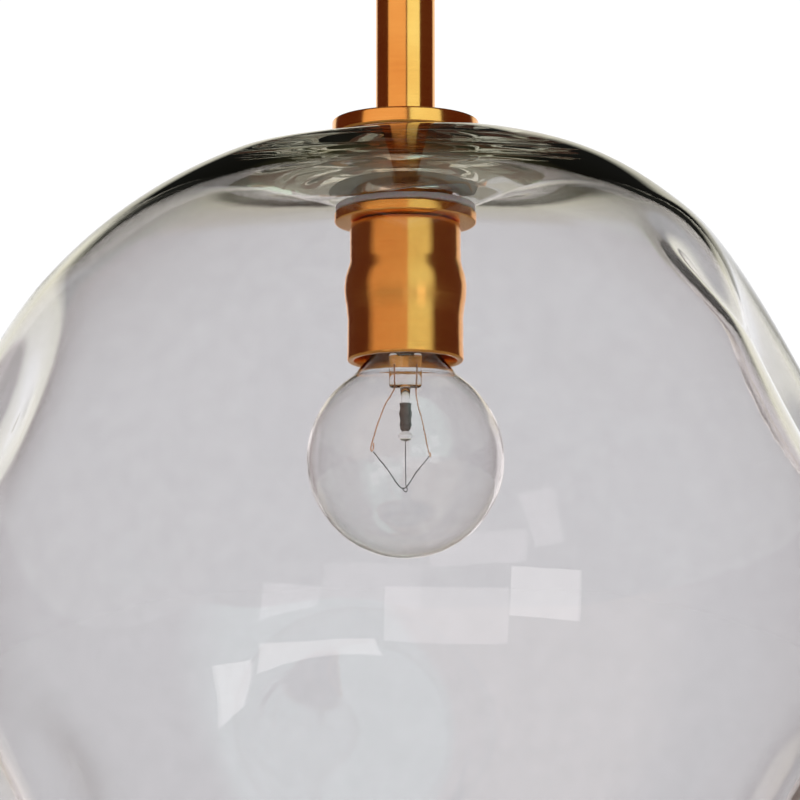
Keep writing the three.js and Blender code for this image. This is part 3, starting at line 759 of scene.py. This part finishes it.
def make_floor():
    mesh = bpy.data.meshes.new("floor")
    half, height = FLOOR_HALF_WIDTH, foot("globe") * MM - FLOOR_DROP
    corners = [(-half, -half, height), (half, -half, height), (half, half, height), (-half, half, height)]
    mesh.from_pydata(corners, [], [(0, 1, 2, 3)])
    nodes = Nodes("studio_floor")
    nodes.set(Base_Color=(0.86, 0.86, 0.86, 1), Roughness=0.7, Emission_Color=(0.96, 0.97, 1.0, 1))
    # Pale where it is looked at, left dim for what the brass reflects, and clear from below.
    path = nodes.add("ShaderNodeLightPath")
    direct = nodes.math("LESS_THAN", path.outputs["Glossy Depth"], 0.5)
    nodes.link(nodes.math("MULTIPLY", direct, FLOOR_GLOW), nodes.shader.inputs["Emission Strength"])
    clear = nodes.add("ShaderNodeMixShader")
    nodes.link(nodes.add("ShaderNodeNewGeometry").outputs["Backfacing"], clear.inputs[0])
    nodes.link(nodes.shader.outputs[0], clear.inputs[1])
    nodes.link(nodes.add("ShaderNodeBsdfTransparent").outputs[0], clear.inputs[2])
    nodes.link(clear.outputs[0], nodes.output.inputs["Surface"])
    mesh.materials.append(nodes.material)
    floor = bpy.data.objects.new("floor", mesh)
    bpy.context.scene.collection.objects.link(floor)


SOFTBOX_DISTANCE = 1.6  # metres


def softbox(name, azimuth, elevation, size, radiance, lights, target_z):
    """A softbox that lights the pieces of one collection. Azimuth 0 is the camera's side, positive to the right."""
    data = bpy.data.lights.new(name, "AREA")
    data.shape = "RECTANGLE"
    data.size, data.size_y = size
    brightest = max(radiance)
    data.energy = brightest * math.pi * size[0] * size[1]
    data.color = [value / brightest for value in radiance]
    lamp = bpy.data.objects.new(name, data)
    bpy.context.scene.collection.objects.link(lamp)
    a, e = math.radians(azimuth), math.radians(elevation)
    direction = Vector((math.sin(a) * math.cos(e), -math.cos(a) * math.cos(e), math.sin(e)))
    target = Vector((0, 0, target_z * MM))
    lamp.location = target + direction * SOFTBOX_DISTANCE
    lamp.rotation_euler = direction.to_track_quat("Z", "Y").to_euler()
    lamp.light_linking.receiver_collection = lights
    lamp.visible_camera = False


WHITE = (1.0, 1.0, 1.0)
BLACK = (0.0, 0.0, 0.0)
FLAG = (0.09, 0.028, 0.018)  # the dark, reddish studio between the cards
FILL = (0.84, 0.70, 0.58)  # the dimmer, warmer card on the left
KEY = (0.98, 1.38, 1.30)  # the brighter card on the right, which turns the brass yellow
FRONT = (-144, 134)  # azimuths between which reflections see the cards and the flags
INSIDE_LIFT = (1.5, 1.42, 1.36, 1.0)  # for brass seen through the globe, whose wall takes light twice
WORLD_STRENGTH = 1.05


def make_world():
    """A white horizon, dark overhead, and for reflections a studio that is dark at the sides."""
    world = bpy.data.worlds.new("studio")
    bpy.context.scene.world = world
    world.use_nodes = True
    tree = world.node_tree
    background = tree.nodes["Background"]
    link = tree.links.new

    def add(kind, **settings):
        node = tree.nodes.new(kind)
        for key, value in settings.items():
            setattr(node, key, value)
        return node

    def calculate(operation, a, b=0.0):
        node = add("ShaderNodeMath", operation=operation)
        for socket, value in zip(node.inputs, (a, b)):
            if isinstance(value, (int, float)):
                socket.default_value = value
            else:
                link(value, socket)
        return node.outputs[0]

    def stepped(value, *stops):
        node = add("ShaderNodeValToRGB")
        shade_ramp(node.color_ramp, *stops)
        link(value, node.inputs["Fac"])
        return node.outputs["Color"]

    xyz = add("ShaderNodeSeparateXYZ")
    link(add("ShaderNodeTexCoord").outputs["Generated"], xyz.inputs[0])
    up = calculate("MULTIPLY_ADD", xyz.outputs["Z"], 0.5)
    up.node.inputs[2].default_value = 0.5

    def height(degrees):
        return 0.5 + 0.5 * math.sin(math.radians(degrees))

    # What light coming through the glass sees, and how bright the cards are from low to high.
    through = stepped(
        up, (height(-90), (0.9, 0.9, 0.9)), (height(-5), WHITE), (height(15.5), WHITE),
        (height(17), (0.90, 0.88, 0.81)), (height(23), (0.82, 0.79, 0.64)), (height(26.5), (0.015, 0.015, 0.013)),
        (height(44), (0.02, 0.02, 0.015)), (height(52), (0.12, 0.11, 0.05)), (height(62), (0.50, 0.47, 0.37)),
        (1.0, (0.35, 0.32, 0.25)),
    )
    card_height = stepped(
        up, (height(-90), (0.3, 0.3, 0.3)), (height(-55), (0.75, 0.75, 0.75)), (height(-20), WHITE),
        (height(70), WHITE), (height(88), (0.5, 0.5, 0.5)),
    )
    # Round the horizon: a lit backdrop behind the light, black flags at its sides, and two cards in front.
    around = calculate("ARCTAN2", xyz.outputs["X"], calculate("MULTIPLY", xyz.outputs["Y"], -1.0))
    turn = calculate("MULTIPLY_ADD", around, 0.5 / math.pi)
    turn.node.inputs[2].default_value = 0.5
    cards = (
        (-180, WHITE), (-157, WHITE), (-150, FLAG), (-82, FLAG), (-62, FILL), (2, FILL), (7, KEY), (46, KEY),
        (62, FLAG), (130, FLAG), (137, WHITE), (180, WHITE),
    )
    backdrop = stepped(turn, *((azimuth / 360 + 0.5, color) for azimuth, color in cards))
    path = add("ShaderNodeLightPath")

    def mix(factor, a, b, kind="MIX"):
        node = add("ShaderNodeMix", data_type="RGBA", blend_type=kind)
        for socket, value in zip((node.inputs[0], node.inputs[6], node.inputs[7]), (factor, a, b)):
            if isinstance(value, (int, float)):
                socket.default_value = value
            elif isinstance(value, tuple):
                socket.default_value = value
            else:
                link(value, socket)
        return node.outputs[2]

    in_front = stepped(
        turn, (0.0, BLACK), (FRONT[0] / 360 + 0.5, BLACK), (FRONT[0] / 360 + 0.51, WHITE),
        (FRONT[1] / 360 + 0.49, WHITE), (FRONT[1] / 360 + 0.5, BLACK),
    )
    studio = mix(1.0, mix(in_front, through, card_height), backdrop, "MULTIPLY")
    crossings = path.outputs["Transmission Depth"]
    inside = calculate("GREATER_THAN", crossings, 3.1)
    reflected = calculate("GREATER_THAN", path.outputs["Glossy Depth"], 0.5)
    # Inside the globe, beyond four faces of glass, brass reflects the cards. Outside it, the softboxes light the
    # brass, and only the flags are reflected.
    outside = mix(in_front, through, (*FLAG, 1))
    lifted = mix(1.0, studio, INSIDE_LIFT, "MULTIPLY")
    glossy = mix(reflected, through, mix(inside, outside, lifted))
    seen = mix(path.outputs["Is Camera Ray"], glossy, (1.0, 1.0, 1.0, 1.0))
    link(seen, background.inputs["Color"])
    background.inputs["Strength"].default_value = WORLD_STRENGTH


def gather(name, pieces):
    """A collection that a light can be limited to."""
    collection = bpy.data.collections.new(name)
    for piece in pieces:
        collection.objects.link(bpy.data.objects[piece])
    return collection


def make_studio():
    """The floor, the world, and the softboxes: two on the outer brass, and four whose images lie on the glass."""
    glass = gather("lit_glass", ["glass_globe", "bulb_envelope_fine"])
    outer_brass = gather("lit_brass", [
        "stem_tube_fine", "top_washer_fine", "stem_top_insert_fine", "swivel_pipe_fine", "swivel_ball_fine",
        "swivel_collar_fine", "canopy_fine", "canopy_knob_left_fine", "canopy_knob_right_fine",
    ])
    make_floor()
    make_world()
    washer = foot("top_washer")
    softbox("fill_card", -34, 0, (2.32, 3.2), FILL, outer_brass, washer)
    softbox("key_card", 32, 0, (1.5, 3.2), KEY, outer_brass, washer)
    rim = foot("socket_cup")
    softbox("window_right", 31, -7, (0.46, 0.30), (1.75, 1.68, 1.65), glass, rim)
    softbox("window_middle", 9, -12.5, (0.76, 0.34), (1.0, 0.94, 0.93), glass, rim)
    softbox("window_left", -20.5, -22, (0.72, 0.22), (1.5, 1.38, 1.35), glass, rim)
    softbox("window_far_left", -41, -28, (0.26, 0.40), (1.6, 1.48, 1.45), glass, rim)
    scene = bpy.context.scene
    scene.view_settings.view_transform = "Standard"
    scene.cycles.max_bounces = 24
    scene.cycles.transmission_bounces = 20
    scene.cycles.glossy_bounces = 8
    scene.cycles.transparent_max_bounces = 16
    scene.cycles.caustics_reflective = True
    scene.cycles.caustics_refractive = True
    scene.cycles.use_denoising = True
    scene.cycles.denoiser = "OPENIMAGEDENOISE"


make_camera()
make_globe()
make_stem()
make_pipes()
make_bush()
make_cup()
make_canopy()
make_knobs()
make_swivel()
make_bulb()
make_bulb_mount()
make_bulb_wires()
make_bulb_sleeve()
make_threads()
paint_frame()
make_studio()
